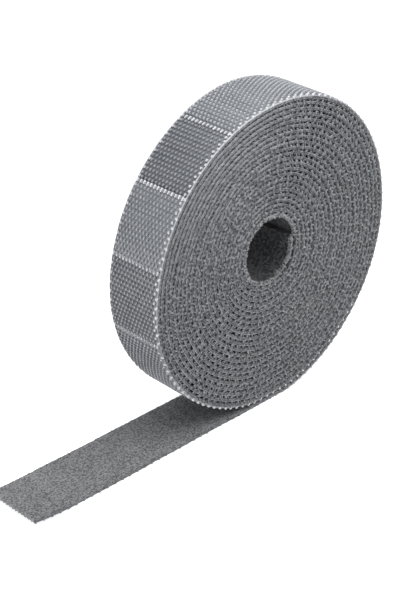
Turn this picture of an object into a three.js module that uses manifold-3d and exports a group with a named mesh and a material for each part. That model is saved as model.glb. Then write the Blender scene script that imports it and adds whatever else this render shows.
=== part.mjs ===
// Hook and loop tape roll: one strip of back-to-back tape, hooks on one side and a brushed
// pile on the other, wound on itself without a core. Its outer end leaves the foot of the roll
// and lies flat on the table as a short tail that bends at the tape's cross seams.
// Millimetres, +Z up. The roll's axis is along Y and the tail runs out along -X. The origin is
// the middle of the footprint, on the surface that the roll stands on.

import * as THREE from 'three';
import Module from 'manifold-3d';
import { mergeVertices } from 'three/addons/utils/BufferGeometryUtils.js';

// The tape
const tapeWidth = 20;
const hookTapeThickness = 0.52;
const loopTapeThickness = 0.48;
const panelLength = 23.2;
const seamWidth = 0.9;
const seamDepth = 0.25;

// The roll
const rollRadius = 51.5;
const footDepth = 0.5;
const boreRadius = 10;
const boreShiftX = -3.9;
const boreShiftZ = 3.6;
const tightestTurnGap = 0.505;
const stepsPerTurn = 24;

// The tail
const tailPanels = 4;
const firstSeamOffset = 2.8;
const bendGap = 0.65;

// A cut runs this far past the faces that it opens
const cutOverrun = 1;

// Worked out from the sizes above
const tapeThickness = hookTapeThickness + loopTapeThickness;
const axisHeight = rollRadius - footDepth;
const innermostRadius = boreRadius + tapeThickness;
const boreShift = Math.hypot(boreShiftX, boreShiftZ);
const boreShiftAngle = Math.atan2(boreShiftZ, boreShiftX);
const thinnestWall = rollRadius - innermostRadius - boreShift;
const stepAngle = (2 * Math.PI) / stepsPerTurn;
const footAngle = -Math.PI / 2;
const turns = thinnestWall / (tapeThickness + tightestTurnGap);
const windingSteps = Math.floor(turns * stepsPerTurn);

const hookCloth = new THREE.MeshStandardMaterial({ color: 0x777b81, roughness: 0.82, metalness: 0 });
const loopCloth = new THREE.MeshStandardMaterial({ color: 0x6b6c6e, roughness: 0.97, metalness: 0 });

const wasm = await Module();
wasm.setup();

// Radius of the pressed outline, seen from the roll's axis: a circle with a flat foot
function outlineRadius(angle) {
  const down = -Math.sin(angle);
  return down > 0 ? Math.min(rollRadius, axisHeight / down) : rollRadius;
}

// Radius of the innermost turn, seen from the roll's axis: the bore lies off centre
function innermostTurnRadius(angle) {
  const turned = angle - boreShiftAngle;
  const across = boreShift * Math.sin(turned);
  return boreShift * Math.cos(turned) + Math.sqrt(innermostRadius ** 2 - across ** 2);
}

// One corner of the winding: a point on the hook side and the way to the loop side there.
// Each turn lies further in by the same share of the wall between the outline and the bore.
function windingCorner(step) {
  const turned = (step + 0.5) * stepAngle;
  const angle = footAngle + turned;
  const inwardShare = (step + 0.5) / windingSteps;
  const outline = outlineRadius(angle);
  const radius = outline - inwardShare * (outline - innermostTurnRadius(angle));
  const mitre = 1 / Math.cos(stepAngle / 2);
  return {
    x: radius * Math.cos(angle),
    z: axisHeight + radius * Math.sin(angle),
    inX: -Math.cos(angle) * mitre,
    inZ: -Math.sin(angle) * mitre,
  };
}

// A corner of the flat tail, at a distance from the foot of the roll
function tailCorner(distance) {
  return { x: -distance, z: 0, inX: 0, inZ: 1 };
}

// The point that lies a depth into the tape from a corner on its hook side
function pointInTape(corner, depth) {
  return { x: corner.x + depth * corner.inX, z: corner.z + depth * corner.inZ };
}

// One closed strip along the corners, between two depths from the hook side
function stripGeometry(corners, depthFrom, depthTo) {
  const halfWidth = tapeWidth / 2;
  const positions = [];
  for (const corner of corners) {
    const outer = pointInTape(corner, depthFrom);
    const inner = pointInTape(corner, depthTo);
    positions.push(outer.x, -halfWidth, outer.z);
    positions.push(outer.x, halfWidth, outer.z);
    positions.push(inner.x, halfWidth, inner.z);
    positions.push(inner.x, -halfWidth, inner.z);
  }
  const sides = 4;
  const indices = [];
  for (let section = 0; section < corners.length - 1; section += 1) {
    const here = section * sides;
    const next = here + sides;
    for (let side = 0; side < sides; side += 1) {
      const after = (side + 1) % sides;
      indices.push(here + side, next + after, next + side);
      indices.push(here + side, here + after, next + after);
    }
  }
  const last = (corners.length - 1) * sides;
  indices.push(0, 2, 1, 0, 3, 2);
  indices.push(last, last + 1, last + 2, last, last + 2, last + 3);
  const geometry = new THREE.BufferGeometry();
  geometry.setAttribute('position', new THREE.Float32BufferAttribute(positions, 3));
  geometry.setIndex(indices);
  return geometry;
}

function toSolid(geometry) {
  const bare = geometry.clone();
  bare.deleteAttribute('normal');
  bare.deleteAttribute('uv');
  const merged = mergeVertices(bare);
  const vertProperties = new Float32Array(merged.attributes.position.array);
  const triVerts = new Uint32Array(merged.index.array);
  return new wasm.Manifold(new wasm.Mesh({ numProp: 3, vertProperties, triVerts }));
}

function toGeometry(solid) {
  const mesh = solid.getMesh();
  const geometry = new THREE.BufferGeometry();
  geometry.setAttribute('position', new THREE.Float32BufferAttribute(mesh.vertProperties, 3));
  geometry.setIndex(new THREE.Uint32BufferAttribute(mesh.triVerts, 1));
  return geometry;
}

// Where the hook side lies at a distance along the tape, and which way it runs there.
// The distance counts from the foot of the roll back into the winding.
function placeAlongTape(corners, startDistance, distance) {
  let passed = startDistance;
  for (let i = 0; i < corners.length - 1; i += 1) {
    const runX = corners[i + 1].x - corners[i].x;
    const runZ = corners[i + 1].z - corners[i].z;
    const run = Math.hypot(runX, runZ);
    if (distance <= passed + run) {
      const share = (distance - passed) / run;
      return {
        x: corners[i].x + share * runX,
        z: corners[i].z + share * runZ,
        pitch: Math.atan2(runZ, runX),
      };
    }
    passed += run;
  }
  return null;
}

// The groove of one cross seam, cut into the hook side
function seamGroove(place) {
  const groove = new THREE.BoxGeometry(seamWidth, tapeWidth + 2 * cutOverrun, 2 * seamDepth);
  groove.rotateY(-place.pitch);
  groove.translate(place.x, 0, place.z);
  return toSolid(groove);
}

// The outer turn shows its cross seams, one panel apart, from the foot all the way round
function cutSeams(strip, corners, startDistance) {
  let solid = toSolid(strip);
  const outerTurn = corners.slice(0, stepsPerTurn + 1);
  let distance = -firstSeamOffset;
  let place = placeAlongTape(outerTurn, startDistance, distance);
  while (place) {
    solid = solid.subtract(seamGroove(place));
    distance += panelLength;
    place = placeAlongTape(outerTurn, startDistance, distance);
  }
  return toGeometry(solid);
}

// Distance from a point to the straight run between two others
function distanceToRun(point, from, to) {
  const runX = to.x - from.x;
  const runZ = to.z - from.z;
  const along = ((point.x - from.x) * runX + (point.z - from.z) * runZ) / (runX ** 2 + runZ ** 2);
  const share = Math.min(1, Math.max(0, along));
  return Math.hypot(point.x - from.x - share * runX, point.z - from.z - share * runZ);
}

// Least gap between the loop side of a turn and the hook side of the turn inside it
function leastTurnGap(corners) {
  let least = Infinity;
  for (let i = 0; i + stepsPerTurn < corners.length - 1; i += 1) {
    const loopSide = pointInTape(corners[i], tapeThickness);
    for (let j = i + stepsPerTurn - 2; j <= i + stepsPerTurn; j += 1) {
      least = Math.min(least, distanceToRun(loopSide, corners[j], corners[j + 1]));
    }
  }
  return least;
}

function piece(name, geometry, material) {
  const mesh = new THREE.Mesh(geometry, material);
  mesh.name = name;
  return mesh;
}

// The two cloths of one stretch of tape, hook side out and loop side in
function tapeStretch(name, corners) {
  return [
    piece(`hook_tape_${name}`, stripGeometry(corners, 0, hookTapeThickness), hookCloth),
    piece(`loop_tape_${name}`, stripGeometry(corners, hookTapeThickness, tapeThickness), loopCloth),
  ];
}

// Distance from the foot of the roll to a seam of the tail
function seamDistance(seam) {
  return firstSeamOffset + seam * panelLength;
}

// The roll, with the first panel of the tail, which its own weight holds down
function makeRoll() {
  const winding = [];
  for (let step = 0; step <= windingSteps; step += 1) {
    winding.push(windingCorner(step));
  }
  const stubEnd = seamDistance(1) - bendGap / 2;
  const corners = [tailCorner(stubEnd), ...winding];
  const [hookTape, loopTape] = tapeStretch('roll', corners);
  hookTape.geometry = cutSeams(hookTape.geometry, corners, -stubEnd);
  console.log(`turns ${turns.toFixed(2)}, least gap between turns ${leastTurnGap(winding).toFixed(3)} mm`);
  return [hookTape, loopTape];
}

// One panel of the tail, between the bend at its inner seam and the next
function makeTailPanel(panel) {
  const from = seamDistance(panel) + bendGap / 2;
  const isLast = panel === tailPanels - 1;
  const to = isLast ? seamDistance(tailPanels) : seamDistance(panel + 1) - bendGap / 2;
  return tapeStretch(`tail_${panel}`, [tailCorner(to), tailCorner(from)]);
}

const group = new THREE.Group();
group.add(...makeRoll());
for (let panel = 1; panel < tailPanels; panel += 1) {
  group.add(...makeTailPanel(panel));
}

// The origin moves to the middle of the footprint
const box = new THREE.Box3().setFromObject(group);
group.position.x = -(box.min.x + box.max.x) / 2;

export default group;
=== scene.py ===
import math

import bpy
import numpy as np
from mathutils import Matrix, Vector


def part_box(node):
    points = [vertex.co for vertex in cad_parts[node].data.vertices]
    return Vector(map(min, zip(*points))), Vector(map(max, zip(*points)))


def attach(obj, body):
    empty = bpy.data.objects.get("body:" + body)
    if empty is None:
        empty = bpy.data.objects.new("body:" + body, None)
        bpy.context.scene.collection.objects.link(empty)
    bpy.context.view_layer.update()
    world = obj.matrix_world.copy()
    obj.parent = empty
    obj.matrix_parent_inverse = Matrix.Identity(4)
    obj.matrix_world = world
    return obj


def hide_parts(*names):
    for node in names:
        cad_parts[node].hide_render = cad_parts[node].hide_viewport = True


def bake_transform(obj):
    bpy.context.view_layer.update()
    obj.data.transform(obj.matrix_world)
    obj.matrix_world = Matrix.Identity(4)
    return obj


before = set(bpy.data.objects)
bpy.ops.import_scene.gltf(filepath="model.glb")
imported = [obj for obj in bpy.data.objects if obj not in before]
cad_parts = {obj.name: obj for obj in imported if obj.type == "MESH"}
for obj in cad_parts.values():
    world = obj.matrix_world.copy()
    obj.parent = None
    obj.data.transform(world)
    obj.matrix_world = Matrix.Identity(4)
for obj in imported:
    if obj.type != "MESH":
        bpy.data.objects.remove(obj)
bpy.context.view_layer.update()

MM = 0.001

# The tape
TAPE_WIDTH = 20 * MM
HALF_WIDTH = TAPE_WIDTH / 2
PANEL_LENGTH = 23.2 * MM
FIRST_SEAM = 2.8 * MM
TAIL_PANELS = 4

# The roll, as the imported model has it
ROLL_RADIUS = 51.5 * MM
FOOT_DEPTH = 0.5 * MM
BORE_RADIUS = 10 * MM
BORE_SHIFT_X = -3.9 * MM
BORE_SHIFT_Z = 3.6 * MM
SOLID_THICKNESS = 1.0 * MM
WINDING_TURNS = 23.375
INNER_END_TURN = 142.5 / 360

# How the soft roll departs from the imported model: its top is higher and leans, so that the far
# rim stands higher than the near one, its lower sides are fuller, and its inner end is pressed.
# The lean is greatest a little past the top, by an angle in radians.
CROWN = 0.4 * MM
CROWN_LEAN = 0.075
CROWN_LEAN_TURN = 0.06
SAG = 0.45 * MM
PRESSED_LENGTH = 6 * MM

# Over this length round the foot the tape goes over from its own thickness to the turns' pitch
FILLING_LENGTH = 24 * MM

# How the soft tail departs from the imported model: it lies a little off the table, but for a
# stretch before the foot, and its cut end curls up, more at the near rim than at the far one.
TAIL_LIFT = 0.1 * MM
TAIL_FADE = 15 * MM
CURL_START = 76 * MM
CURL_LENGTH = 20 * MM
CURL_HEIGHT = 0.95 * MM
CURL_LEAN = 0.06

# How unevenly the tape lies, as sums of waves. Each has its amplitude, its shortest and longest
# wave and the number of waves. Ripples and sways go in and out, drifts go across the tape.
RIPPLE = (0.06 * MM, 3 * MM, 30 * MM, 8)
DRIFT = (0.16 * MM, 12 * MM, 500 * MM, 8)
SHORT_DRIFT = (0.08 * MM, 3 * MM, 11 * MM, 5)
TAIL_DRIFT = (0.05 * MM, 14 * MM, 90 * MM, 4)
TAIL_RIPPLE = (0.05 * MM, 25 * MM, 90 * MM, 3)
SWAY = 0.2 * MM
SWAY_LOBES = (5, 8, 11, 17)
SWAY_DEPTH = 9 * MM

# The tape's layers, as heights above the table where it lies flat
HOOK_HEIGHT = 0.45 * MM
SHEET_TOP = 0.7 * MM
CLOTH_TOP = 1.28 * MM
PILE_TOP = 1.5 * MM

# The field of hooks. Two lanes at the near rim and one at the far rim are a piece of their own,
# a little shorter, wider and further to the near side, and paler on the outer turn.
LANES = 28
LANE_PITCH = 0.7 * MM
HOOK_PITCH = 2.9 * MM
COLUMNS_IN_PANEL = 16
INNER_LANES = range(2, LANES - 1)
RIM_LANES = (0, 1, LANES - 1)
RIM_LANES_SHIFT = 0.3 * MM
RIM_LANES_SIZE = (0.95, 1.1)

# One hook: a stem whose head curls over in three bends. Each bend has its step along the tape
# and upright in millimetres, its turn in degrees and its size.
HOOK_WIDTH = 0.46 * MM
STEM_LENGTH = 0.5 * MM
STEM_TOP = 0.14 * MM
ROOT_DEPTH = 0.04 * MM
HOOK_BENDS = ((0.14, -0.09, 35, 0.92), (0.24, -0.05, 30, 0.88), (0.2, 0.09, 40, 0.7))

# The rims and the cross seams. Panels and seams count from the tail's cut end. The joints
# between the mould's plates differ, and the same four come again and again: how far the row of
# stubs lies from the seam, and how far the groove does if there is one. The seam on the top of
# the roll has neither stubs nor a groove, only the groove's painted shade.
RIM_RADIUS = 0.2 * MM
GROOVE_WIDTH = 0.4 * MM
GROOVE_DEPTH = 0.18 * MM
SEAM_LOOKS = (
    (0.85 * MM, None),
    (0.55 * MM, -0.4 * MM),
    (-0.5 * MM, None),
    (-0.2 * MM, 0.7 * MM),
)
PLAIN_SEAM = 11
FIRST_DARK_PANEL = 12
STUB_SIZE = (1.15 * MM, 0.48 * MM, 0.34 * MM)
STUB_LANES = range(1, LANES, 2)

# The pile's loops and the cut yarn ends. Densities are per square millimetre, and for yarn ends
# per millimetre of rim. Each bend of a yarn end has its step in millimetres and its size.
LOOP_RADIUS = 0.26 * MM
FIBRE_RADIUS = 0.06 * MM
PILE_DENSITY = 2.5
EDGE_DENSITY = 8
LINING_DENSITY = 4.8
FUZZ_DENSITY = 30
YARN_DENSITY = 6
YARN_RADIUS = 0.09 * MM
YARN_BENDS = (((0.1, -0.22, 0.05), 0.8), ((0.2, -0.12, 0.12), 0.3))

# The whole field of hooks runs on for this length into the second turn, and the whole pile this
# far into the roll. Further in only what shows at the rims is made.
HOOKS_BEYOND_TURN = 45 * MM
PILE_INTO_ROLL = 6 * MM

# Zones of the roll's looks: how far towards the upper left of the axis the painted light and shade
# fade in on the cheeks and the yarn ends thin out, and where along the tape the painted light on
# the outer turn's rims over the top begins and ends.
UPPER_LEFT_PAINTED_ZONE = (28 * MM, 42 * MM)
YARN_ZONE = (24 * MM, 46 * MM)
PAINTED_LIGHT_FROM = (130 * MM, 160 * MM)
PAINTED_LIGHT_TO = (215 * MM, 255 * MM)

TAIL_LENGTH = FIRST_SEAM + TAIL_PANELS * PANEL_LENGTH
FOOT_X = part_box("hook_tape_tail_3")[0].x + TAIL_LENGTH
AXIS_HEIGHT = ROLL_RADIUS - FOOT_DEPTH
CELLS_IN_PANEL = round(PANEL_LENGTH / HOOK_PITCH)

# The columns in a table of places, one row for each copy
ALONG, ACROSS, HEIGHT, TURN, SIZE_X, SIZE_Y, SIZE_Z = range(7)
SIZES = slice(SIZE_X, SIZE_Z + 1)
COLUMNS = 7

random = np.random.default_rng(41)


# The winding

def waves(along, amplitude, shortest, longest, count):
    """An uneven line: a few sine waves of seeded lengths and phases."""
    total = np.zeros_like(along)
    for length in np.geomspace(shortest, longest, count):
        wave = 2 * math.pi / (length * random.uniform(0.85, 1.15))
        total += np.sin(along * wave + random.uniform(0, 2 * math.pi))
    return amplitude * total / math.sqrt(count)


class Winding:
    """Carries flat tape onto the roll. A place along the tape counts from the foot of the roll:
    below zero on the tail, and above zero further and further into the spiral."""

    steps_in_turn = 720

    def __init__(self):
        steps = np.arange(int((WINDING_TURNS + 1) * self.steps_in_turn))
        turned = steps * 2 * math.pi / self.steps_in_turn
        angle = turned - math.pi / 2
        inward = turned / (2 * math.pi * WINDING_TURNS)
        packed = self.packed_radius(angle)
        wall = packed - self.innermost_radius(angle)
        self.pitch = wall / WINDING_TURNS
        even_radius = packed - inward * wall
        self.measure_length(turned, angle, even_radius)
        radius = even_radius + self.slump(angle) * (1 - inward)
        self.lay_spiral(angle, radius)
        self.lay_turns_unevenly(angle, radius, inward)
        self.lay_tail_unevenly()

    def measure_length(self, turned, angle, even_radius):
        """The tape keeps its length, so it is measured on the spiral before the roll slumps."""
        runs = np.hypot(np.diff(even_radius * np.cos(angle)), np.diff(even_radius * np.sin(angle)))
        self.along = np.concatenate([[0], np.cumsum(runs)])
        end_turned = 2 * math.pi * (math.floor(WINDING_TURNS) + INNER_END_TURN)
        self.length = float(np.interp(end_turned, turned, self.along))
        self.outer_turn = float(np.interp(2 * math.pi, turned, self.along))

    def lay_spiral(self, angle, radius):
        """The hook tips' line round the roll, and the way inwards from each of its points."""
        self.x = FOOT_X + radius * np.cos(angle)
        self.z = AXIS_HEIGHT + radius * np.sin(angle)
        run_x = np.gradient(self.x)
        run_z = np.gradient(self.z)
        run = np.hypot(run_x, run_z)
        self.in_x = -run_z / run
        self.in_z = run_x / run

    def lay_turns_unevenly(self, angle, radius, inward):
        """The turns inside the outer one wander, and the roll's top leans."""
        inside = np.clip(self.along / self.outer_turn - 0.6, 0.1, 1)
        self.ripple = waves(self.along, *RIPPLE) * inside
        self.drift = waves(self.along, *DRIFT) * inside
        self.drift += waves(self.along, *SHORT_DRIFT) * inside
        self.ripple += self.sway(angle, radius) * inside
        top = np.maximum(np.sin(angle - CROWN_LEAN_TURN), 0) ** 8
        self.lean = CROWN_LEAN * top * (1 - inward)

    def lay_tail_unevenly(self):
        self.tail_along = np.linspace(-TAIL_LENGTH, 0, 200)
        fade = np.clip(-self.tail_along / TAIL_FADE, 0, 1)
        self.tail_drift = waves(self.tail_along, *TAIL_DRIFT) * fade
        self.tail_lift = (waves(self.tail_along, *TAIL_RIPPLE) + TAIL_LIFT) * fade

    @staticmethod
    def sway(angle, radius):
        """Neighbouring turns give way together, so they wave in step."""
        total = np.zeros_like(angle)
        for lobes in SWAY_LOBES:
            shift = radius / SWAY_DEPTH * random.uniform(-1, 1)
            turned = lobes * angle + shift + random.uniform(0, 6)
            total += np.sin(turned) / lobes
        return SWAY * total * radius / ROLL_RADIUS

    @staticmethod
    def packed_radius(angle):
        """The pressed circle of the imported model."""
        down = np.maximum(-np.sin(angle), 1e-6)
        return np.minimum(ROLL_RADIUS, AXIS_HEIGHT / down)

    @staticmethod
    def innermost_radius(angle):
        """The bore's circle, which lies off centre, as seen from the roll's axis."""
        shift = math.hypot(BORE_SHIFT_X, BORE_SHIFT_Z)
        turned = angle - math.atan2(BORE_SHIFT_Z, BORE_SHIFT_X)
        innermost = BORE_RADIUS + SOLID_THICKNESS
        return shift * np.cos(turned) + np.sqrt(innermost ** 2 - (shift * np.sin(turned)) ** 2)

    @staticmethod
    def slump(angle):
        """The soft roll is a little higher at the top, and fuller on its sides from a quarter
        of its radius above the axis down to just above the foot."""
        down = -np.sin(angle)
        sides = np.sin(math.pi * np.clip((down + 0.25) / 1.2, 0, 1))
        return CROWN * np.maximum(-down, 0) ** 6 + SAG * sides

    def fullness(self, along):
        """The wound tape fills the pitch of its turns, the free tail keeps its own thickness,
        and the inner end is pressed down to half."""
        wound = np.interp(along, self.along, self.pitch) / PILE_TOP
        share = np.clip((along + FILLING_LENGTH / 2) / FILLING_LENGTH, 0, 1)
        near_end = np.clip((along - self.length) / PRESSED_LENGTH + 1, 0, 1)
        pressed = 1 - 0.5 * near_end ** 2
        return (1 + (wound - 1) * share * share * (3 - 2 * share)) * pressed

    def place(self, along, across, height):
        """Flat places of the tape, as arrays, to places in the frame."""
        wound = np.maximum(along, 0)
        free = np.minimum(along, 0)
        x = np.interp(wound, self.along, self.x) + free
        z = np.interp(wound, self.along, self.z)
        in_x = np.interp(wound, self.along, self.in_x)
        in_z = np.interp(wound, self.along, self.in_z)
        depth = height * self.fullness(along) + np.interp(wound, self.along, self.ripple)
        depth -= np.interp(wound, self.along, self.lean) * across
        curl = CURL_HEIGHT - CURL_LEAN * across
        lift = np.clip((-along - CURL_START) / CURL_LENGTH, 0, 1) ** 2 * curl
        lift += np.interp(free, self.tail_along, self.tail_lift)
        drift = np.interp(wound, self.along, self.drift)
        drift += np.interp(free, self.tail_along, self.tail_drift)
        return np.stack([x + depth * in_x, across + drift, z + depth * in_z + lift], axis=1)


winding = Winding()


def towards_upper_left(x, z):
    """How far a place lies from the roll's axis towards its upper left."""
    return (z - AXIS_HEIGHT) * 0.72 - (x - FOOT_X) * 0.69


# Mesh tools

def deselect_all():
    if bpy.context.mode != "OBJECT":
        bpy.ops.object.mode_set(mode="OBJECT")
    bpy.ops.object.select_all(action="DESELECT")


def pick(piece):
    """Makes the piece the only one that is selected, and the active one."""
    deselect_all()
    bpy.context.view_layer.objects.active = piece
    piece.select_set(True)


def take_new(name):
    """Names the primitive just added and puts its place, turn and size in its mesh."""
    piece = bpy.context.object
    piece.name = name
    piece.data.name = name
    bpy.ops.object.transform_apply(location=True, rotation=True, scale=True)
    return piece


def points_of(piece):
    points = np.zeros(len(piece.data.vertices) * 3)
    piece.data.vertices.foreach_get("co", points)
    return points.reshape(-1, 3)


def set_points(piece, points):
    piece.data.vertices.foreach_set("co", np.asarray(points, np.float32).ravel())
    piece.data.update()


def select_faces(piece, wanted):
    """In edit mode: selects the faces whose centre and normal pass the test, and no others."""
    bpy.ops.object.mode_set(mode="OBJECT")
    for vertex in piece.data.vertices:
        vertex.select = False
    for edge in piece.data.edges:
        edge.select = False
    for face in piece.data.polygons:
        face.select = bool(wanted(face.center, face.normal))
    bpy.ops.object.mode_set(mode="EDIT")
    bpy.ops.mesh.select_mode(type="FACE")


def select_long_edges(piece, shortest):
    """In edit mode: selects the edges that run further than this along X."""
    bpy.ops.object.mode_set(mode="OBJECT")
    for edge in piece.data.edges:
        ends = [piece.data.vertices[i].co for i in edge.vertices]
        edge.select = abs(ends[0].x - ends[1].x) > shortest
    bpy.ops.object.mode_set(mode="EDIT")


def close_ends(piece):
    pick(piece)
    bpy.ops.object.mode_set(mode="EDIT")
    bpy.ops.mesh.select_mode(type="EDGE")
    bpy.ops.mesh.select_all(action="DESELECT")
    bpy.ops.mesh.select_non_manifold()
    bpy.ops.mesh.edge_face_add()
    bpy.ops.mesh.select_all(action="SELECT")
    bpy.ops.mesh.normals_make_consistent(inside=False)
    bpy.ops.object.mode_set(mode="OBJECT")


def repeat_along(piece, step, count):
    """Repeats an open piece along X, as one skin that is closed at both ends."""
    repeat = piece.modifiers.new("repeat", "ARRAY")
    repeat.count = count
    repeat.use_relative_offset = False
    repeat.use_constant_offset = True
    repeat.constant_offset_displace = (step, 0, 0)
    repeat.use_merge_vertices = True
    repeat.merge_threshold = 0.01 * MM
    pick(piece)
    bpy.ops.object.modifier_apply(modifier=repeat.name)
    close_ends(piece)


def placed_copies(shape, places):
    """The points of a shape once for each row of places."""
    turn_cos = np.cos(places[:, TURN])[:, None]
    turn_sin = np.sin(places[:, TURN])[:, None]
    sized = shape[None] * places[:, None, SIZES]
    x = sized[..., 0] * turn_cos - sized[..., 1] * turn_sin + places[:, ALONG, None]
    y = sized[..., 0] * turn_sin + sized[..., 1] * turn_cos + places[:, ACROSS, None]
    z = sized[..., 2] + places[:, HEIGHT, None]
    return np.stack([x, y, z], axis=2).reshape(-1, 3)


def copies_of(model, name, places):
    """One mesh of many copies of a model, one for each row of places."""
    places = np.asarray(places, float)
    count = len(places)
    points = placed_copies(points_of(model), places)
    loops = np.zeros(len(model.data.loops), np.int32)
    model.data.loops.foreach_get("vertex_index", loops)
    starts = np.zeros(len(model.data.polygons), np.int32)
    model.data.polygons.foreach_get("loop_start", starts)
    vertex_shift = np.arange(count)[:, None] * len(model.data.vertices)
    loop_shift = np.arange(count)[:, None] * len(loops)
    mesh = bpy.data.meshes.new(name)
    mesh.vertices.add(len(points))
    mesh.vertices.foreach_set("co", points.astype(np.float32).ravel())
    mesh.loops.add(count * len(loops))
    mesh.loops.foreach_set("vertex_index", (loops[None] + vertex_shift).astype(np.int32).ravel())
    mesh.polygons.add(count * len(starts))
    mesh.polygons.foreach_set("loop_start", (starts[None] + loop_shift).astype(np.int32).ravel())
    mesh.update(calc_edges=True)
    mesh.validate()
    piece = bpy.data.objects.new(name, mesh)
    bpy.context.scene.collection.objects.link(piece)
    return piece


def wind(piece):
    """Keeps each point's flat place as an attribute and carries the piece onto the winding."""
    flat = points_of(piece)
    attribute = piece.data.attributes.new("tape_place", "FLOAT_VECTOR", "POINT")
    attribute.data.foreach_set("vector", flat.astype(np.float32).ravel())
    set_points(piece, winding.place(flat[:, 0], flat[:, 1], flat[:, 2]))
    return piece


def dress(piece, material, degrees=50):
    """Gives the piece its material and slot, and smooths the edges blunter than an angle."""
    piece.data.materials.clear()
    piece.data.materials.append(material)
    pick(piece)
    bpy.ops.object.shade_smooth_by_angle(angle=math.radians(degrees))
    return piece


# Models that repeat

def model_hook():
    """One moulded hook, hanging down from the sheet: a stem whose head curls over along X."""
    deselect_all()
    stem_foot = HOOK_HEIGHT + ROOT_DEPTH
    stem_height = stem_foot - STEM_TOP
    bpy.ops.mesh.primitive_cube_add(size=1, location=(0, 0, (stem_foot + STEM_TOP) / 2))
    bpy.context.object.scale = (STEM_LENGTH, HOOK_WIDTH, stem_height)
    hook = take_new("hook_model")
    bpy.ops.object.mode_set(mode="EDIT")
    select_faces(hook, lambda centre, normal: normal.z < -0.9)
    head = Vector((0, 0, STEM_TOP))
    for step_x, step_z, turn, size in HOOK_BENDS:
        step = Vector((step_x * MM, 0, step_z * MM))
        head += step
        bpy.ops.mesh.extrude_region_move(TRANSFORM_OT_translate={"value": step})
        bpy.ops.transform.rotate(value=math.radians(turn), orient_axis="Y", center_override=head)
        bpy.ops.transform.resize(value=(size, 0.94, size), center_override=head)
    bpy.ops.object.mode_set(mode="OBJECT")
    return hook


def model_fibre():
    """One loop of the brushed pile: a thin arch that stands on its two ends."""
    deselect_all()
    bpy.ops.mesh.primitive_circle_add(
        vertices=3, radius=FIBRE_RADIUS, location=(LOOP_RADIUS, 0, 0), fill_type="NGON")
    fibre = take_new("fibre_model")
    bpy.ops.object.mode_set(mode="EDIT")
    bpy.ops.mesh.select_all(action="SELECT")
    bpy.ops.mesh.spin(steps=4, angle=-math.pi, center=(0, 0, 0), axis=(0, 1, 0))
    bpy.ops.mesh.select_all(action="SELECT")
    bpy.ops.mesh.normals_make_consistent(inside=False)
    bpy.ops.object.mode_set(mode="OBJECT")
    return fibre


def model_yarn_end():
    """One cut end of a yarn at the cloth's rim: a bent three-sided spike that points along -Y."""
    deselect_all()
    upright = (math.pi / 2, 0, 0)
    bpy.ops.mesh.primitive_circle_add(
        vertices=3, radius=YARN_RADIUS, rotation=upright, fill_type="NGON")
    yarn = take_new("yarn_model")
    bpy.ops.object.mode_set(mode="EDIT")
    bpy.ops.mesh.select_all(action="SELECT")
    for step, size in YARN_BENDS:
        bpy.ops.mesh.extrude_region_move(TRANSFORM_OT_translate={"value": Vector(step) * MM})
        bpy.ops.transform.resize(value=(size, size, size))
    bpy.ops.mesh.select_all(action="SELECT")
    bpy.ops.mesh.normals_make_consistent(inside=False)
    bpy.ops.object.mode_set(mode="OBJECT")
    return yarn


def model_stub():
    """One stub of the row beside a cross seam: a low block with a narrower top."""
    deselect_all()
    middle = (0, 0, HOOK_HEIGHT + ROOT_DEPTH - STUB_SIZE[2] / 2)
    bpy.ops.mesh.primitive_cube_add(size=1, location=middle)
    bpy.context.object.scale = STUB_SIZE
    stub = take_new("stub_model")
    bpy.ops.object.mode_set(mode="EDIT")
    select_faces(stub, lambda centre, normal: normal.z < -0.9)
    bpy.ops.mesh.extrude_region_move(TRANSFORM_OT_translate={"value": (0, 0, -0.1 * MM)})
    bpy.ops.transform.resize(value=(0.7, 0.6, 1))
    bpy.ops.object.mode_set(mode="OBJECT")
    return stub


# Stretches of tape

def make_cell(name, low, high, scallop):
    """One hook pitch of a layer, open at both ends, its rims rounded and slightly scalloped."""
    deselect_all()
    thickness = high - low
    middle = (HOOK_PITCH / 2, 0, (low + high) / 2)
    bpy.ops.mesh.primitive_cube_add(size=1, location=middle)
    bpy.context.object.scale = (HOOK_PITCH, TAPE_WIDTH, thickness)
    cell = take_new(name)
    bpy.ops.object.mode_set(mode="EDIT")
    select_faces(cell, lambda centre, normal: abs(normal.x) > 0.9)
    bpy.ops.mesh.delete(type="ONLY_FACE")
    select_long_edges(cell, HOOK_PITCH / 2)
    bpy.ops.mesh.select_mode(type="EDGE")
    bpy.ops.mesh.bevel(offset=thickness * 0.3, segments=1)
    select_long_edges(cell, HOOK_PITCH / 2)
    bpy.ops.mesh.subdivide(number_cuts=2)
    bpy.ops.object.mode_set(mode="OBJECT")
    points = points_of(cell)
    wave = 0.5 - 0.5 * np.cos(2 * math.pi * points[:, 0] / HOOK_PITCH)
    near_rim = np.abs(points[:, 1]) > HALF_WIDTH - thickness
    points[:, 1] += np.sign(points[:, 1]) * near_rim * scallop * (wave - 1)
    set_points(cell, points)
    return cell


def make_layer(name, start, cells, low, high, scallop, roughness):
    """A layer of the tape over a number of hook pitches, with uneven rims."""
    layer = make_cell(name, low, high, scallop)
    repeat_along(layer, HOOK_PITCH, cells)
    points = points_of(layer)
    at_rim = np.abs(points[:, 1]) > HALF_WIDTH - (high - low)
    points[:, 1] += at_rim * random.uniform(-roughness, roughness, len(points))
    points[:, 2] += at_rim * random.uniform(-roughness, roughness, len(points)) / 8
    points[:, 0] += start
    set_points(layer, points)
    return layer


def make_cord(name, start, cells, across, height):
    """A thin round cord along the tape, closed at both ends."""
    deselect_all()
    length = HOOK_PITCH / 4
    bpy.ops.mesh.primitive_cylinder_add(
        vertices=6, radius=RIM_RADIUS, depth=length, end_fill_type="NOTHING",
        location=(length / 2, across, height), rotation=(0, math.pi / 2, 0))
    cord = take_new(name)
    repeat_along(cord, length, cells * 4)
    points = points_of(cord)
    points[:, 0] += start
    set_points(cord, points)
    return cord


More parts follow.
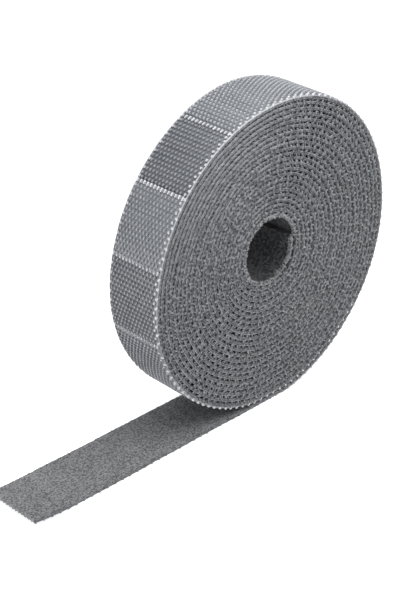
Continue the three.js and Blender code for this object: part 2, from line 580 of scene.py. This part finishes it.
def cut_grooves(layer, grooves):
    """Presses grooves across the hook side of the sheet."""
    pick(layer)
    bpy.ops.object.mode_set(mode="EDIT")
    for groove in grooves:
        for side in (-1, -0.6, 0.6, 1):
            cut = groove + side * GROOVE_WIDTH / 2
            bpy.ops.mesh.select_all(action="SELECT")
            bpy.ops.mesh.bisect(plane_co=(cut, 0, 0), plane_no=(1, 0, 0))
    bpy.ops.object.mode_set(mode="OBJECT")
    points = points_of(layer)
    for groove in grooves:
        in_groove = np.abs(points[:, 0] - groove) < GROOVE_WIDTH * 0.4
        hook_side = points[:, 2] < HOOK_HEIGHT + 0.1 * MM
        points[in_groove & hook_side, 2] += GROOVE_DEPTH
    set_points(layer, points)


# Places on the tape

def lane_place(lane):
    return (lane - (LANES - 1) / 2) * LANE_PITCH


def column_along(column):
    return -TAIL_LENGTH + (column + 0.5) * HOOK_PITCH / 2


def column_at(along):
    return int(round((along + TAIL_LENGTH) / (HOOK_PITCH / 2)))


def head_turn(column):
    """The hooks' heads turn the other way in the dark panels."""
    panel = column // COLUMNS_IN_PANEL
    dark = (panel % 2 == 0) & (panel >= FIRST_DARK_PANEL)
    return np.where(dark, 0, math.pi)


def hook_places(first_column, last_column, lanes):
    """Places of the hooks in the chosen lanes, from one column to another. Columns count from
    the tail's cut end, and neighbouring lanes are shifted by half a hook pitch."""
    places = []
    for column in range(first_column, last_column):
        for lane in lanes:
            if (lane + column) % 2 == 0:
                across = lane_place(lane)
                places.append((column_along(column), across, 0, head_turn(column), 1, 1, 1))
    places = np.array(places)
    places[:, ALONG] += random.normal(0, 0.04 * MM, len(places))
    places[:, ACROSS] += random.normal(0, 0.02 * MM, len(places))
    places[:, TURN] += random.normal(0, 0.06, len(places))
    places[:, SIZE_X] *= random.uniform(0.92, 1.1, len(places))
    return places


def inner_hook_places(first_column, last_column, side):
    """The hooks that show between the inner turns on one cheek: a row at the rim, and a second
    one further in that fills the first one's gaps."""
    columns = np.arange(first_column + (side > 0), last_column, 2)
    count = len(columns)
    rim = HALF_WIDTH - 0.34 * MM
    places = np.zeros((count, COLUMNS))
    places[:, ALONG] = column_along(columns) + random.normal(0, 0.15 * MM, count)
    places[:, ACROSS] = side * (rim + random.normal(0, 0.07 * MM, count))
    places[:, TURN] = head_turn(columns) + random.normal(0, 0.2, count)
    places[:, SIZE_X] = random.uniform(0.55, 0.95, count)
    places[:, SIZE_Y] = random.uniform(0.9, 1.3, count)
    places[:, SIZE_Z] = 1
    second = places.copy()
    second[:, ALONG] += HOOK_PITCH / 2
    second[:, ACROSS] -= side * 0.4 * MM
    return np.concatenate([places, second])


def seams_between(start, end):
    """The seams from one place to another, each with its number from the tail's cut end."""
    first = math.ceil((start + TAIL_LENGTH) / PANEL_LENGTH)
    last = math.floor((end + TAIL_LENGTH) / PANEL_LENGTH)
    numbers = range(max(first, 1), last + 1)
    return [(number, -TAIL_LENGTH + number * PANEL_LENGTH) for number in numbers]


def grooves_at(seams):
    """Where the grooves lie that some of the seams have."""
    grooves = []
    for number, seam in seams:
        _, groove = SEAM_LOOKS[number % len(SEAM_LOOKS)]
        if groove is not None and number != PLAIN_SEAM:
            grooves.append(seam + groove)
    return grooves


def clear_of_grooves(places, seams):
    """Takes out the hooks that would stand in a groove and moves its neighbours off its edge."""
    kept = np.ones(len(places), bool)
    for groove in grooves_at(seams):
        away = places[:, ALONG] - groove
        kept &= np.abs(away) > 0.2 * MM
        places[:, ALONG] += np.sign(away) * (np.abs(away) < 0.8 * MM) * 0.18 * MM
    return places[kept]


def stub_places(seams, parity):
    """The rows of stubs beside the odd or the even seams."""
    places = []
    for number, seam in seams:
        if number != PLAIN_SEAM and number % 2 == parity:
            beside, _ = SEAM_LOOKS[number % len(SEAM_LOOKS)]
            for lane in STUB_LANES:
                places.append((seam + beside, lane_place(lane), 0, 0, 1, 1, 1))
    places = np.array(places).reshape(-1, COLUMNS)
    places[:, ALONG] += random.normal(0, 0.05 * MM, len(places))
    places[:, SIZES] *= random.uniform(0.85, 1.15, (len(places), 3))
    return places


def pile_places(start, end, density, low_across, high_across, height):
    """Loops of the pile scattered over a stretch of the cloth."""
    area = (end - start) * (high_across - low_across) / MM ** 2
    count = int(area * density)
    places = np.zeros((count, COLUMNS))
    places[:, ALONG] = random.uniform(start, end, count)
    places[:, ACROSS] = random.uniform(low_across, high_across, count)
    places[:, HEIGHT] = height
    places[:, TURN] = random.uniform(0, 2 * math.pi, count)
    places[:, SIZE_X] = random.uniform(0.7, 1.8, count)
    places[:, SIZE_Y] = random.uniform(0.8, 1.4, count)
    places[:, SIZE_Z] = random.uniform(0.5, 1.3, count)
    return places


def rim_pile_places(start, end, density, side, depth, low, high):
    """Loops of the pile scattered along one rim, to a depth from it and between two heights."""
    edges = sorted((side * (HALF_WIDTH - depth), side * (HALF_WIDTH + 0.06 * MM)))
    places = pile_places(start, end, density, edges[0], edges[1], 0)
    places[:, HEIGHT] = random.uniform(low, high, len(places))
    return places


def yarn_end_places(start, end, side):
    """Cut ends of the yarns along one rim, in the pile and just under it. Few of them are left
    on the upper left of the roll."""
    places = np.zeros((int((end - start) / MM * YARN_DENSITY), COLUMNS))
    count = len(places)
    places[:, ALONG] = random.uniform(start, end, count)
    places[:, ACROSS] = side * (HALF_WIDTH - random.uniform(0.1, 0.55, count) * MM)
    places[:, HEIGHT] = random.uniform(SHEET_TOP + 0.1 * MM, PILE_TOP - 0.1 * MM, count)
    places[:, TURN] = random.normal(math.pi / 2 * (1 + side), 0.9, count)
    places[:, SIZES] = random.uniform(0.8, 1.5, (count, 3))
    places[:, SIZE_Z] *= random.choice((-1, 1), count)
    wound = winding.place(places[:, ALONG], places[:, ACROSS], places[:, HEIGHT])
    upper_left = towards_upper_left(wound[:, 0], wound[:, 2])
    return places[random.uniform(*YARN_ZONE, count) > upper_left]


# Shaders

class Shade:
    """A shader socket that Python sums can use."""

    def __init__(self, finish, socket):
        self.finish = finish
        self.socket = socket

    def __add__(self, other):
        return self.finish.sum("ADD", self, other)

    def __sub__(self, other):
        return self.finish.sum("SUBTRACT", self, other)

    def __rsub__(self, other):
        return self.finish.sum("SUBTRACT", other, self)

    def __mul__(self, other):
        return self.finish.sum("MULTIPLY", self, other)

    __radd__ = __add__
    __rmul__ = __mul__


class Finish:
    """A material made of nodes, with one plastic or cloth shader."""

    def __init__(self, name, **surface):
        self.material = bpy.data.materials.new(name)
        self.material.use_nodes = True
        self.nodes = self.material.node_tree.nodes
        self.links = self.material.node_tree.links
        self.surface = self.nodes["Principled BSDF"]
        for socket, value in surface.items():
            self.surface.inputs[socket.replace("_", " ")].default_value = value

    def set_input(self, socket, value):
        if isinstance(value, Shade):
            self.links.new(value.socket, socket)
        else:
            socket.default_value = value

    def node(self, kind, settings=None, output=0, **values):
        """Adds a node. Inputs are given by name, or as _0, _1 and so on by their order."""
        made = self.nodes.new(kind)
        for setting, value in (settings or {}).items():
            setattr(made, setting, value)
        for name, value in values.items():
            key = int(name[1:]) if name[1:].isdigit() else name.replace("_", " ")
            self.set_input(made.inputs[key], value)
        return Shade(self, made.outputs[output])

    def sum(self, operation, a, b):
        return self.node("ShaderNodeMath", {"operation": operation}, _0=a, _1=b)

    def part(self, axis, vector):
        return self.node("ShaderNodeSeparateXYZ", output=axis, Vector=vector)

    def tape_place(self):
        return self.node("ShaderNodeAttribute", {"attribute_name": "tape_place"}, output="Vector")

    def noise(self, vector, scale, detail=2.0, rough=0.5):
        return self.node(
            "ShaderNodeTexNoise", Vector=vector, Scale=scale, Detail=detail, Roughness=rough)

    def colours(self, factor, dark, light):
        made = self.nodes.new("ShaderNodeMix")
        made.data_type = "RGBA"
        self.set_input(made.inputs["Factor"], factor)
        made.inputs["A"].default_value = (*dark, 1)
        made.inputs["B"].default_value = (*light, 1)
        return Shade(self, made.outputs["Result"])

    def feed(self, socket, value):
        self.set_input(self.surface.inputs[socket], value)

    def bump(self, height, strength, distance):
        raised = self.node("ShaderNodeBump", Height=height, Strength=strength, Distance=distance)
        self.feed("Normal", raised)


def contrast(value, low, high):
    """Spreads the stretch from low to high over nought to one."""
    made = value.finish.nodes.new("ShaderNodeMapRange")
    value.finish.set_input(made.inputs["Value"], value)
    made.inputs["From Min"].default_value = low
    made.inputs["From Max"].default_value = high
    return Shade(value.finish, made.outputs["Result"])


def along_tape(finish):
    return finish.part("X", finish.tape_place())


def from_middle(finish, periods):
    """How far a place lies from the nearest whole period, as a share of the period."""
    return finish.sum("ABSOLUTE", finish.sum("FRACT", periods + 0.5, 0.0) - 0.5, 0.0)


def near_rims(finish):
    """One at the tape's rims and nought further in than 0.7 millimetres."""
    across = finish.part("Y", finish.tape_place())
    from_centre = finish.sum("ABSOLUTE", across, 0.0)
    return contrast(from_centre, HALF_WIDTH - 0.7 * MM, HALF_WIDTH - 0.2 * MM)


def light_panels(finish, early_share=1.0):
    """Nought on the dark panels and one on the others. The panels before the first dark one, which
    run up to just past the top of the roll, have a share of their own: above one it is painted light
    there, and below one painted shade."""
    panels = (along_tape(finish) + TAIL_LENGTH) * (1 / PANEL_LENGTH)
    odd = finish.sum("GREATER_THAN", finish.sum("MODULO", panels, 2.0), 1.0)
    early = finish.sum("LESS_THAN", panels, float(FIRST_DARK_PANEL))
    return odd * (1 - early) + early * early_share


def cross_lines(finish):
    """One in thin lines across the tape, one hook pitch apart, as the mould leaves them."""
    pitches = (along_tape(finish) + TAIL_LENGTH + 0.4 * MM) * (1 / HOOK_PITCH)
    return contrast(from_middle(finish, pitches), 0.09, 0.04)


def painted_groove_shade(finish):
    """One in the grooves of the cross seams, and at the plain one: painted shade."""
    period = len(SEAM_LOOKS) * PANEL_LENGTH
    half = GROOVE_WIDTH / 2 / period
    total = 0.0
    for number, (_, groove) in enumerate(SEAM_LOOKS):
        if groove is not None:
            shift = TAIL_LENGTH - number * PANEL_LENGTH - groove
            periods = (along_tape(finish) + shift) * (1 / period)
            total = contrast(from_middle(finish, periods), half * 1.2, half * 0.8) + total
    return total


def on_roll(finish):
    """Nought on the free tail and one on the roll."""
    return contrast(along_tape(finish), -14 * MM, -2 * MM)


def painted_bore_shade(finish):
    """One on the last 1.4 turns, which line the bore, and nought on the others. It marks
    where the bore's shade is painted.
    """
    lining = 2.8 * math.pi * (BORE_RADIUS + 1 * MM)
    start = winding.length - lining
    return contrast(along_tape(finish), start, start + 6 * MM)


def upper_left_painted_light_and_shade(finish):
    """One over the upper left of the roll, where light and shade are painted on the cheeks."""
    place = finish.node("ShaderNodeTexCoord", output="Object")
    upper_left = towards_upper_left(finish.part("X", place), finish.part("Z", place))
    return contrast(upper_left, *UPPER_LEFT_PAINTED_ZONE)


def mottling(finish, cloud_scale, grain_scale):
    """Uneven clouds of a few millimetres with a fine grain over them."""
    place = finish.tape_place()
    clouds = contrast(finish.noise(place, cloud_scale, 3), 0.3, 0.7)
    grain = contrast(finish.noise(place, grain_scale, 2), 0.25, 0.75)
    return clouds * 0.5 + grain * 0.5


def yarn_spots(finish):
    """Light and dark spots of a millimetre or two, as the yarns' turns leave them."""
    return contrast(finish.noise(finish.tape_place(), 1000, 1, 0.5), 0.42, 0.58)


# Materials, each with its darkest and its lightest grey

HOOK_GREYS = ((0.135, 0.141, 0.153), (0.29, 0.3, 0.318))
SHEET_GREYS = ((0.042, 0.045, 0.052), (0.225, 0.236, 0.253))
STUB_GREYS = ((0.33, 0.338, 0.352), (0.55, 0.56, 0.58))
RIM_HOOK_GREYS = ((0.25, 0.256, 0.268), (0.45, 0.46, 0.476))
CORD_GREYS = ((0.05, 0.053, 0.06), (0.34, 0.35, 0.366))
# The hooks between the inner turns are a darker copy of the hook plastic: painted shade.
INNER_RIM_GREYS = ((0.04, 0.043, 0.049), (0.25, 0.262, 0.282))
CLOTH_GREYS = ((0.008, 0.0085, 0.01), (0.228, 0.232, 0.24))
PILE_GREYS = ((0.04, 0.041, 0.044), (0.255, 0.259, 0.266))
YARN_GREYS = ((0.03, 0.033, 0.038), (0.18, 0.189, 0.205))
# The bore's pile is far darker than the same pile elsewhere: painted shade.
BORE_PAINTED_SHADE_GREYS = ((0.004, 0.0045, 0.006), (0.1, 0.102, 0.105))
BORE_FUZZ_GREYS = ((0.13, 0.133, 0.14), (0.36, 0.366, 0.374))
FLOOR_WHITE = (0.93, 0.93, 0.93, 1)
FLOOR_GLOW = 0.55


def make_hook_nylon():
    """The hooks, darker in the dark panels and lightest in the panels before the first one, which
    run up to just past the top of the roll: painted light.
    """
    finish = Finish("hook_nylon")
    # Painted light: the hooks are lighter in the panels up to the top of the roll.
    shade = mottling(finish, 260, 2400) * 0.8 - (1 - light_panels(finish, 2.5)) * 0.2
    finish.feed("Base Color", finish.colours(shade, *HOOK_GREYS))
    finish.feed("Roughness", shade * 0.15 + 0.25)
    return finish.material


def make_rim_nylon(name, greys):
    """The stubs at the seams, and the paler hooks along the rims."""
    finish = Finish(name)
    shade = mottling(finish, 500, 1800)
    finish.feed("Base Color", finish.colours(shade, *greys))
    finish.feed("Roughness", shade * 0.2 + 0.3)
    return finish.material


def make_inner_rim_nylon():
    """The hooks between the inner turns, a dark copy of the hook plastic: painted shade between the
    turns, deepest over the upper left.
    """
    finish = Finish("inner_rim_nylon")
    # Painted shade: the inner hooks are darker still over the upper left of the roll.
    shade = mottling(finish, 500, 1800) * (1 - upper_left_painted_light_and_shade(finish) * 0.8)
    finish.feed("Base Color", finish.colours(shade, *INNER_RIM_GREYS))
    finish.feed("Roughness", shade * 0.2 + 0.5)
    return finish.material


def make_cord_nylon():
    """The outer turn's rims, paler over the top of the roll with painted light."""
    finish = Finish("cord_nylon")
    along = along_tape(finish)
    # Painted light: the rims are paler over the top of the roll, where the light falls on them.
    painted_light = contrast(along, *PAINTED_LIGHT_FROM) - contrast(along, *PAINTED_LIGHT_TO)
    shade = mottling(finish, 500, 1800) * 0.4 + painted_light * 0.5
    finish.feed("Base Color", finish.colours(shade, *CORD_GREYS))
    finish.feed("Roughness", shade * 0.2 + 0.3)
    return finish.material


def make_sheet_nylon():
    """The moulded sheet: its ground between the hooks, and its rims on the cheeks."""
    finish = Finish("hook_sheet")
    drawn_out = finish.node("ShaderNodeMapping", _0=finish.tape_place(), Scale=(1, 2.5, 1))
    grain = contrast(finish.noise(drawn_out, 2200, 2), 0.25, 0.75)
    # Painted shade: the ground between the hooks is darker in the panels up to the top of the roll
    # than in the other light panels.
    panels = light_panels(finish, 0.2)
    ground = mottling(finish, 300, 2400) * 0.25 + grain * 0.15 + panels * 0.55 + 0.09
    ground = ground * (1 - cross_lines(finish) * (0.65 - panels * 0.35))
    even = upper_left_painted_light_and_shade(finish)
    # Painted light: over the upper left of the roll the sheet's rims on the cheeks are lighter, with
    # fainter spots.
    rim_shade = yarn_spots(finish) * (0.6 - even * 0.3) + grain * 0.2 + 0.06 + even * 0.3
    rims = near_rims(finish) * on_roll(finish)
    shade = ground * 0.62 * (1 - rims) + rims * rim_shade
    # Painted shade: dark lines across the sheet in the seams' grooves, and at the plain seam on the
    # top.
    shade = shade - painted_groove_shade(finish) * 0.4
    finish.feed("Base Color", finish.colours(shade, *SHEET_GREYS))
    finish.feed("Roughness", grain * 0.15 + 0.42)
    finish.bump(grain, 0.5, 0.05 * MM)
    return finish.material


def make_loop_cloth():
    """The brushed cloth: its matt back, its rims on the cheeks, and painted shade on the turns
    that line the bore.
    """
    finish = Finish("loop_cloth", Roughness=0.95, Specular_IOR_Level=0.2, Sheen_Weight=0.1)
    place = finish.tape_place()
    tufts = contrast(finish.noise(place, 1400, 2, 0.6), 0.4, 0.6)
    grain = contrast(finish.noise(place, 2400, 2, 0.7), 0.4, 0.6)
    brushed = tufts * 0.45 + grain * 0.4 + mottling(finish, 180, 3600) * 0.15
    even = upper_left_painted_light_and_shade(finish)
    # Painted light: over the upper left of the roll the cloth's rims on the cheeks are lighter, with
    # fainter spots.
    rim_shade = yarn_spots(finish) * (0.48 - even * 0.2) + grain * 0.2 + 0.05 + even * 0.2
    rims = near_rims(finish) * on_roll(finish)
    shade = brushed * (1 - rims) + rims * rim_shade
    spots = contrast(finish.noise(place, 1000, 2), 0.42, 0.62)
    # Painted shade: the turns that line the bore are darkened nearly to black, with lighter spots.
    shade = shade * (1 - painted_bore_shade(finish) * (0.98 - spots * 0.28))
    finish.feed("Base Color", finish.colours(shade, *CLOTH_GREYS))
    finish.bump(shade, 0.8, 0.15 * MM)
    return finish.material


def make_pile(name, greys, gloss=0.5):
    """Loops and cut ends of the yarns."""
    finish = Finish(name, Roughness=0.85, Specular_IOR_Level=gloss)
    shade = yarn_spots(finish) * 0.6 + mottling(finish, 700, 3000) * 0.4
    finish.feed("Base Color", finish.colours(shade, *greys))
    return finish.material


def make_floor_paint():
    finish = Finish("floor", Roughness=0.9)
    finish.feed("Base Color", FLOOR_WHITE)
    finish.feed("Emission Color", (1, 1, 1, 1))
    finish.feed("Emission Strength", FLOOR_GLOW)
    return finish.material


# The pieces

hook_model = model_hook()
fibre_model = model_fibre()
yarn_model = model_yarn_end()
stub_model = model_stub()
hook_nylon = make_hook_nylon()
rim_nylon = make_rim_nylon("rim_nylon", STUB_GREYS)
rim_hook_nylon = make_rim_nylon("rim_hook_nylon", RIM_HOOK_GREYS)
cord_nylon = make_cord_nylon()
inner_rim_nylon = make_inner_rim_nylon()
sheet_nylon = make_sheet_nylon()
loop_cloth = make_loop_cloth()
pile = make_pile("pile", PILE_GREYS)
yarn = make_pile("yarn", YARN_GREYS)
# The pile inside the bore gets painted shade.
bore_pile_painted_shade = make_pile("bore_pile_painted_shade", BORE_PAINTED_SHADE_GREYS, gloss=0.05)
bore_fuzz = make_pile("bore_fuzz", BORE_FUZZ_GREYS)

SIDES = (("near", -1), ("far", 1))


def rim_cords(name, start, cells, material):
    """The smooth rounded rims of the hook sheet."""
    height = HOOK_HEIGHT - 0.08 * MM
    cords = []
    for side, sign in SIDES:
        across = sign * (HALF_WIDTH - RIM_RADIUS)
        cord = make_cord(f"{name}_rim_{side}", start, cells, across, height)
        points = points_of(cord)
        points[:, 1] += random.normal(0, 0.03 * MM, len(points))
        points[:, 2] += random.normal(0, 0.02 * MM, len(points))
        set_points(cord, points)
        cords.append(dress(wind(cord), material, 80))
    return cords


def hook_rows(name, columns, lanes, seams, material, shift=0, size=(1, 1)):
    places = clear_of_grooves(hook_places(*columns, lanes), seams)
    places[:, ACROSS] -= shift
    places[:, SIZE_X:SIZE_Z] *= size
    return dress(wind(copies_of(hook_model, name, places)), material, 60)


def hook_field(name, start, cells, rim_material):
    """The hooks and the stubs at the seams over one stretch of the tape."""
    end = start + cells * HOOK_PITCH
    seams = seams_between(start, end - 1 * MM)
    columns = (column_at(start), column_at(end))
    pieces = [
        hook_rows(name + "_hooks", columns, INNER_LANES, seams, hook_nylon),
        hook_rows(name + "_rim_hooks", columns, RIM_LANES, seams, rim_material,
                  RIM_LANES_SHIFT, RIM_LANES_SIZE),
    ]
    for row, parity, material in (("clear_stubs", 1, rim_nylon), ("faint_stubs", 0, rim_hook_nylon)):
        places = stub_places(seams, parity)
        if len(places):
            stubs = wind(copies_of(stub_model, f"{name}_{row}", places))
            pieces.append(dress(stubs, material, 60))
    return pieces


def hook_sheet(name, start, cells, seams):
    sheet = make_layer(name + "_sheet", start, cells, HOOK_HEIGHT, SHEET_TOP, 0.1 * MM, 0.05 * MM)
    cut_grooves(sheet, grooves_at(seams))
    return dress(wind(sheet), sheet_nylon, 40)


def loop_tape(name, start, cells, pile_end):
    """The brushed cloth and the loops of its pile over one stretch of the tape."""
    cloth = make_layer(name + "_cloth", start, cells, SHEET_TOP, CLOTH_TOP, 0.05 * MM, 0.12 * MM)
    dress(wind(cloth), loop_cloth, 40)
    half = HALF_WIDTH + 0.15 * MM
    places = pile_places(start, pile_end, PILE_DENSITY, -half, half, CLOTH_TOP)
    loops = wind(copies_of(fibre_model, name + "_pile", places))
    dress(loops, pile, 80)
    return [cloth, loops]


def bore_lining(start, end):
    """The pile inside the bore, with painted shade in its colour."""
    places = pile_places(start, end, LINING_DENSITY, -HALF_WIDTH, HALF_WIDTH, CLOTH_TOP)
    loops = wind(copies_of(fibre_model, "bore_pile_painted_shade", places))
    return dress(loops, bore_pile_painted_shade, 80)


def inner_rims(side, sign, hooks_start, lining_start, end):
    """What shows of the inner turns on one cheek: hooks, cut yarn ends and the bore's fuzz."""
    places = inner_hook_places(column_at(hooks_start), column_at(end), sign)
    hooks = wind(copies_of(hook_model, "inner_hooks_" + side, places))
    pieces = [dress(hooks, inner_rim_nylon, 60)]
    middle = (PILE_INTO_ROLL + end) / 2
    for stretch, first, last in (("outer", PILE_INTO_ROLL, middle), ("inner", middle, end)):
        places = yarn_end_places(first, last, sign)
        ends = wind(copies_of(yarn_model, f"yarn_ends_{side}_{stretch}", places))
        pieces.append(dress(ends, yarn, 80))
    low = CLOTH_TOP - 0.35 * MM
    high = PILE_TOP + 0.1 * MM
    places = rim_pile_places(lining_start, end, FUZZ_DENSITY, sign, 0.7 * MM, low, high)
    places[:, SIZE_Z] *= 1.6
    fuzz = wind(copies_of(fibre_model, "bore_fuzz_" + side, places))
    pieces.append(dress(fuzz, bore_fuzz, 80))
    return pieces


def make_winding():
    """The whole roll, from the middle of the tail's first panel to the inner end."""
    start = -TAIL_LENGTH + 3.5 * PANEL_LENGTH
    cells = int((winding.length - start) / HOOK_PITCH)
    end = start + cells * HOOK_PITCH
    outer_cells = math.ceil((winding.outer_turn + HOOKS_BEYOND_TURN - start) / HOOK_PITCH)
    outer_end = start + outer_cells * HOOK_PITCH
    sheet = hook_sheet("hook_winding", start, cells, seams_between(start, outer_end))
    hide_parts("hook_tape_roll")
    pieces = [sheet]
    pieces += rim_cords("hook_winding", start, outer_cells, cord_nylon)
    pieces += hook_field("hook_winding", start, outer_cells, rim_hook_nylon)
    cloth = loop_tape("loop_winding", start, cells, PILE_INTO_ROLL)
    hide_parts("loop_tape_roll")
    pieces += cloth
    lining_start = end - 2 * math.pi * (BORE_RADIUS + 2 * MM)
    pieces.append(bore_lining(lining_start, end))
    for side, sign in SIDES:
        pieces += inner_rims(side, sign, outer_end, lining_start, end)
    for piece in pieces:
        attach(piece, "roll")


def tail_stretch(name, start, cells):
    """Both tapes, with hooks and pile, over one stretch of the free tail."""
    end = start + cells * HOOK_PITCH
    sheet = hook_sheet("hook_" + name, start, cells, seams_between(start, end))
    cloth = loop_tape("loop_" + name, start, cells, end)
    pieces = [sheet] + cloth + rim_cords("hook_" + name, start, cells, sheet_nylon)
    pieces += hook_field("hook_" + name, start, cells, hook_nylon)
    for side, sign in SIDES:
        places = rim_pile_places(
            start, end, EDGE_DENSITY, sign, 0.3 * MM, HOOK_HEIGHT, CLOTH_TOP)
        edge = wind(copies_of(fibre_model, f"{name}_edge_{side}", places))
        pieces.append(dress(edge, pile, 80))
    return pieces, sheet, cloth[0]


def make_tail():
    """The tail's pieces run from the middle of one panel to the middle of the next, over the
    seam between them, and the last half panel ends in the square cut."""
    bend_half_length = 5 * MM
    for bend in (1, 2, 3):
        start = -TAIL_LENGTH + (3.5 - bend) * PANEL_LENGTH
        pieces, sheet, cloth = tail_stretch(f"bend_{bend}", start, CELLS_IN_PANEL)
        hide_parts(f"hook_tape_tail_{bend}")
        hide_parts(f"loop_tape_tail_{bend}")
        seam_x = FOOT_X + start + PANEL_LENGTH / 2
        bend_start = (seam_x + bend_half_length, 0, 0)
        bend_end = (seam_x - bend_half_length, 0, 0)
        for piece in pieces:
            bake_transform(piece)
    pieces, _, _ = tail_stretch("end", -TAIL_LENGTH, CELLS_IN_PANEL // 2)
    for piece in pieces:
        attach(piece, "tail_3")


make_winding()
make_tail()
for model in (hook_model, fibre_model, yarn_model, stub_model):
    bpy.data.objects.remove(model, do_unlink=True)


# The stage: each lamp has its name, size, power in watts and place

LAMPS = (
    ("soft_box", 200 * MM, 0.74, (0, -76 * MM, 240 * MM)),
    ("card", 80 * MM, 0.16, (-190 * MM, 60 * MM, 30 * MM)),
)
SKY_STRENGTH = 0.82
CAMERA_PLACE = (-232.1 * MM, -227.7 * MM, 215.5 * MM)
CAMERA_TURN = (61.712, -1.275, -44.806)
CAMERA_LENS = 73.5


def make_floor():
    deselect_all()
    bpy.ops.mesh.primitive_plane_add(size=4)
    floor = take_new("floor")
    floor.data.materials.append(make_floor_paint())


def make_lights():
    """A soft box close above the roll, a pale card on its left and an even bright sky."""
    for name, size, power, place in LAMPS:
        lamp = bpy.data.lights.new(name, "AREA")
        lamp.size = size
        lamp.energy = power
        box = bpy.data.objects.new(name, lamp)
        box.location = place
        towards_roll = Vector((0, 0, AXIS_HEIGHT)) - Vector(place)
        box.rotation_euler = towards_roll.to_track_quat("-Z", "Y").to_euler()
        bpy.context.scene.collection.objects.link(box)
    world = bpy.data.worlds.new("studio")
    world.use_nodes = True
    sky = world.node_tree.nodes["Background"]
    sky.inputs["Color"].default_value = (1, 1, 1, 1)
    sky.inputs["Strength"].default_value = SKY_STRENGTH
    bpy.context.scene.world = world
    bpy.context.scene.view_settings.view_transform = "Standard"


def make_camera():
    data = bpy.data.cameras.new("camera")
    data.lens = CAMERA_LENS
    data.clip_start = 10 * MM
    camera = bpy.data.objects.new("camera", data)
    camera.location = CAMERA_PLACE
    camera.rotation_euler = [math.radians(turn) for turn in CAMERA_TURN]
    bpy.context.scene.collection.objects.link(camera)
    bpy.context.scene.camera = camera


make_floor()
make_lights()
make_camera()
